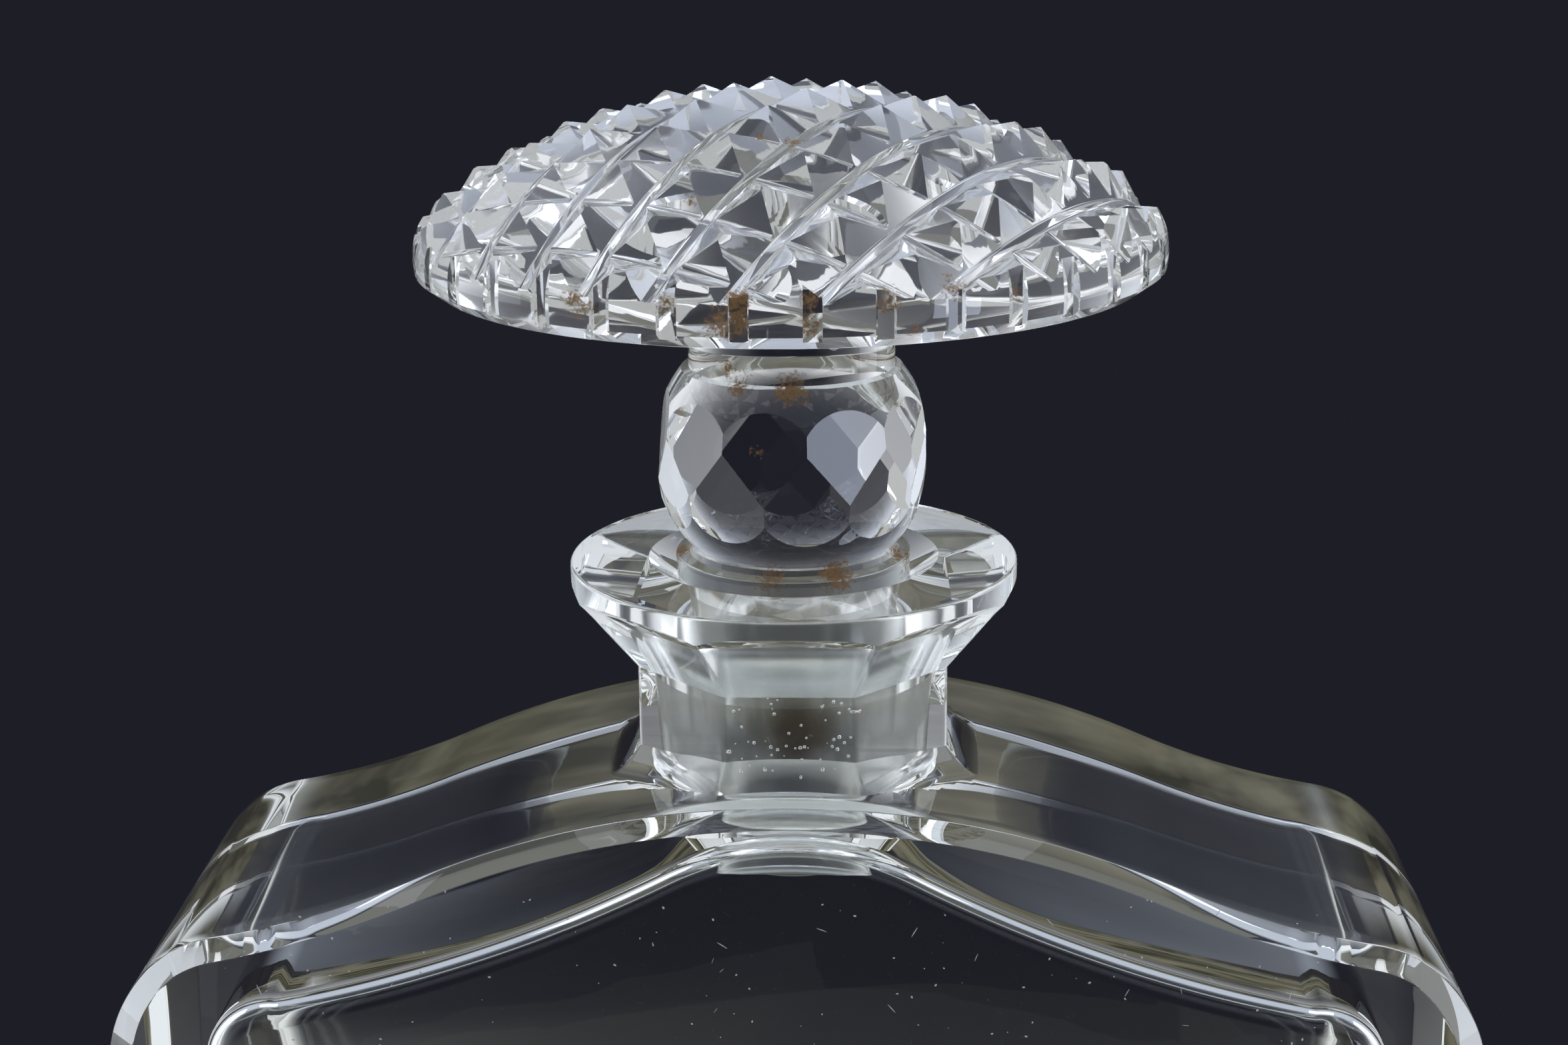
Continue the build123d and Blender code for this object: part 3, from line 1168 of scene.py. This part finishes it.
def paintedGlow(tree, place, look):
    # painted glow in place of the body colour of heavy glass: clouded, and painted lighter towards
    # the lip and the ears
    height = addNode(tree, "ShaderNodeSeparateXYZ", {0: place})
    flareFoot = lipTop + neck["flare"][0][0]
    fromLip = addNode(
        tree,
        "ShaderNodeMapRange",
        {
            "Value": height.outputs["Z"],
            "From Min": (flareFoot - depths["lipFade"]) * mm,
            "From Max": (flareFoot + depths["lipFade"]) * mm,
        },
        interpolation_type="SMOOTHSTEP",
    )
    sideways = addNode(tree, "ShaderNodeMath", {0: height.outputs["X"]}, operation="ABSOLUTE")
    fromEar = addNode(
        tree,
        "ShaderNodeMapRange",
        {
            "Value": sideways,
            "From Min": (halfWidth - flask["earRadius"]) * mm,
            "From Max": halfWidth * mm,
            "To Max": look["paintedEarGlowShare"],
        },
        interpolation_type="SMOOTHSTEP",
    )
    light = addNode(tree, "ShaderNodeMath", {0: fromLip, 1: fromEar}, operation="MAXIMUM")
    cloud = addNode(
        tree,
        "ShaderNodeTexNoise",
        {"Vector": place, "Scale": 1 / (look["cloudLength"] * mm), "Detail": 3.0},
    )
    thin, thick = depths["cloudRange"]
    clouded = addNode(
        tree,
        "ShaderNodeMapRange",
        {"Value": cloud.outputs["Fac"], "From Min": thin, "From Max": thick},
    )
    colour = hexToLinear(look["paintedGlowColour"])
    for share, paint in ((clouded, look["paintedGlowCloudColour"]), (light, look["paintedLipGlowColour"])):
        mix = addNode(
            tree, "ShaderNodeMix", {0: share, 6: colour, 7: hexToLinear(paint)}, data_type="RGBA"
        )
        colour = mix.outputs[2]
    return addNode(tree, "ShaderNodeEmission", {"Color": colour})


def crystal(name, look, finish="polished"):
    # clear, heavy glass with a faint grey-green cast and soft ripples in its skin. The wheel
    # leaves its cuts slightly milky, and ground glass scatters part of the light as white
    roughness, clarity = finishes[finish]
    material, tree = newMaterial(name)
    place = addNode(tree, "ShaderNodeTexCoord").outputs["Object"]
    ripple = addNode(
        tree,
        "ShaderNodeTexNoise",
        {"Vector": place, "Scale": 1 / (look["rippleLength"] * mm), "Detail": 2.0},
    )
    bump = addNode(
        tree,
        "ShaderNodeBump",
        {
            "Strength": look["rippleStrength"],
            "Distance": look["rippleHeight"] * mm,
            "Height": ripple.outputs["Fac"],
        },
    )
    skin = addNode(
        tree,
        "ShaderNodeBsdfPrincipled",
        {
            "Base Color": stained(tree, place, look),
            "Roughness": roughness,
            "IOR": look["refraction"],
            "Transmission Weight": clarity,
            "Normal": bump,
        },
    )
    if look["deposits"]:
        cover, crust = deposits(tree, place, look["deposits"])
        skin = addNode(tree, "ShaderNodeMixShader", {0: cover, 1: skin, 2: crust})
    # paths that have crossed the walls many times end in a painted glow, in place of the light they
    # would still gather and the body colour of the glass
    path = addNode(tree, "ShaderNodeLightPath").outputs
    deep = 0.0
    for count, limit in (("Glossy Depth", depths["turns"]), ("Ray Depth", depths["crossings"])):
        over = addNode(
            tree, "ShaderNodeMath", {0: path[count], 1: limit}, operation="GREATER_THAN"
        )
        deep = addNode(tree, "ShaderNodeMath", {0: deep, 1: over}, operation="MAXIMUM")
    paintedGlowShader = paintedGlow(tree, place, look)
    mix = addNode(tree, "ShaderNodeMixShader", {0: deep, 1: skin, 2: paintedGlowShader})
    addNode(tree, "ShaderNodeOutputMaterial", {"Surface": mix})
    return material


def dust():
    # pale matt specks and fibres that catch the light on the dark panel
    material, tree = newMaterial("dust")
    speck = addNode(
        tree,
        "ShaderNodeBsdfPrincipled",
        {
            "Base Color": hexToLinear(fluff["colour"]),
            "Roughness": fluff["roughness"],
            "Alpha": fluff["cover"],
        },
    )
    addNode(tree, "ShaderNodeOutputMaterial", {"Surface": speck})
    return material


def mattCard():
    # matt card: pale, without gloss. Straight through the glass it stays pale, and where the glass
    # mirrors it inside it is a flat dim glow instead: painted shade, as of the card under a clear
    # bottle
    material, tree = newMaterial("mattCard")
    card = addNode(
        tree,
        "ShaderNodeBsdfPrincipled",
        {
            "Base Color": hexToLinear(studio["floorColour"]),
            "Roughness": studio["floorRoughness"],
        },
    )
    paintedCardShade = addNode(tree, "ShaderNodeEmission", {"Color": hexToLinear(studio["floorShadePaintedInGlass"])})
    path = addNode(tree, "ShaderNodeLightPath").outputs
    mirrored = addNode(
        tree, "ShaderNodeMath", {0: path["Glossy Depth"], 1: 0.5}, operation="GREATER_THAN"
    )
    throughGlass = addNode(
        tree,
        "ShaderNodeMath",
        {0: path["Is Glossy Ray"], 1: path["Is Transmission Ray"]},
        operation="MAXIMUM",
    )
    inGlass = addNode(
        tree, "ShaderNodeMath", {0: mirrored, 1: throughGlass}, operation="MULTIPLY"
    )
    mix = addNode(tree, "ShaderNodeMixShader", {0: inGlass, 1: card, 2: paintedCardShade})
    addNode(tree, "ShaderNodeOutputMaterial", {"Surface": mix})
    return material


def makeFloor():
    bm = bmesh.new()
    radius, thickness = studio["floorRadius"] * mm, studio["floorThickness"] * mm
    bmesh.ops.create_cone(
        bm,
        cap_ends=True,
        segments=studio["floorSegments"],
        radius1=radius,
        radius2=radius,
        depth=thickness,
        matrix=Matrix.Translation((0, 0, -thickness / 2 - studio["floorGap"] * mm)),
    )
    floor = finishMesh("floor", bm)
    floor.data.materials.append(mattCard())


def refinish(piece, material, belongs):
    # gives a ground or wheel-cut skin its own finish: belongs tells by a face's centre, in mm
    slot = len(piece.data.materials)
    piece.data.materials.append(material)
    for face in piece.data.polygons:
        if belongs(face.center / mm):
            face.material_index = slot


bpy.context.scene.view_settings.view_transform = "Standard"
makeWorld()
for name, sizes in lamps.items():
    makeLamp(name, *sizes)
makeFloor()
print("studio ready")

flaskPiece = makeFlask()
leadCrystal = crystal("leadCrystal", flaskLook)
flaskPiece.data.materials.clear()
flaskPiece.data.materials.append(leadCrystal)
refinish(
    flaskPiece,
    crystal("groundBore", flaskLook, "ground"),
    lambda spot: neck["boreEnd"] < spot.z - lipTop < -neck["mouthDepth"]
    and math.hypot(spot.x, spot.y) < neck["boreTop"],
)
inclusionTools = inclusionTree()
paleDust = dust()
strew(flaskPiece, inclusionTools, bubbles, leadCrystal)
strew(flaskPiece, inclusionTools, dustOnPanel, paleDust)
strew(flaskPiece, inclusionTools, fibresOnPanel, paleDust)
print("bubbles, dust and fibres strewn")
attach(flaskPiece, "bottle")
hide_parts("bottle")
print("flask made:", len(flaskPiece.data.polygons), "faces")

stopperPiece = makeStopper(crystal("cutCrystal", stopperLook))
refinish(
    stopperPiece,
    crystal("wheelCutCrystal", stopperLook, "wheelCut"),
    lambda spot: spot.z - lipTop > stopper["seat"] + notches["depth"],
)
plugFoot = stopper["plugEnd"] + stopper["plugChamfer"]
refinish(
    stopperPiece,
    crystal("groundPlug", stopperLook, "ground"),
    lambda spot: plugFoot < spot.z - lipTop < stopper["groundTop"],
)
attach(stopperPiece, "stopper")
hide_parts("stopper")
print("stopper made:", len(stopperPiece.data.polygons), "faces")
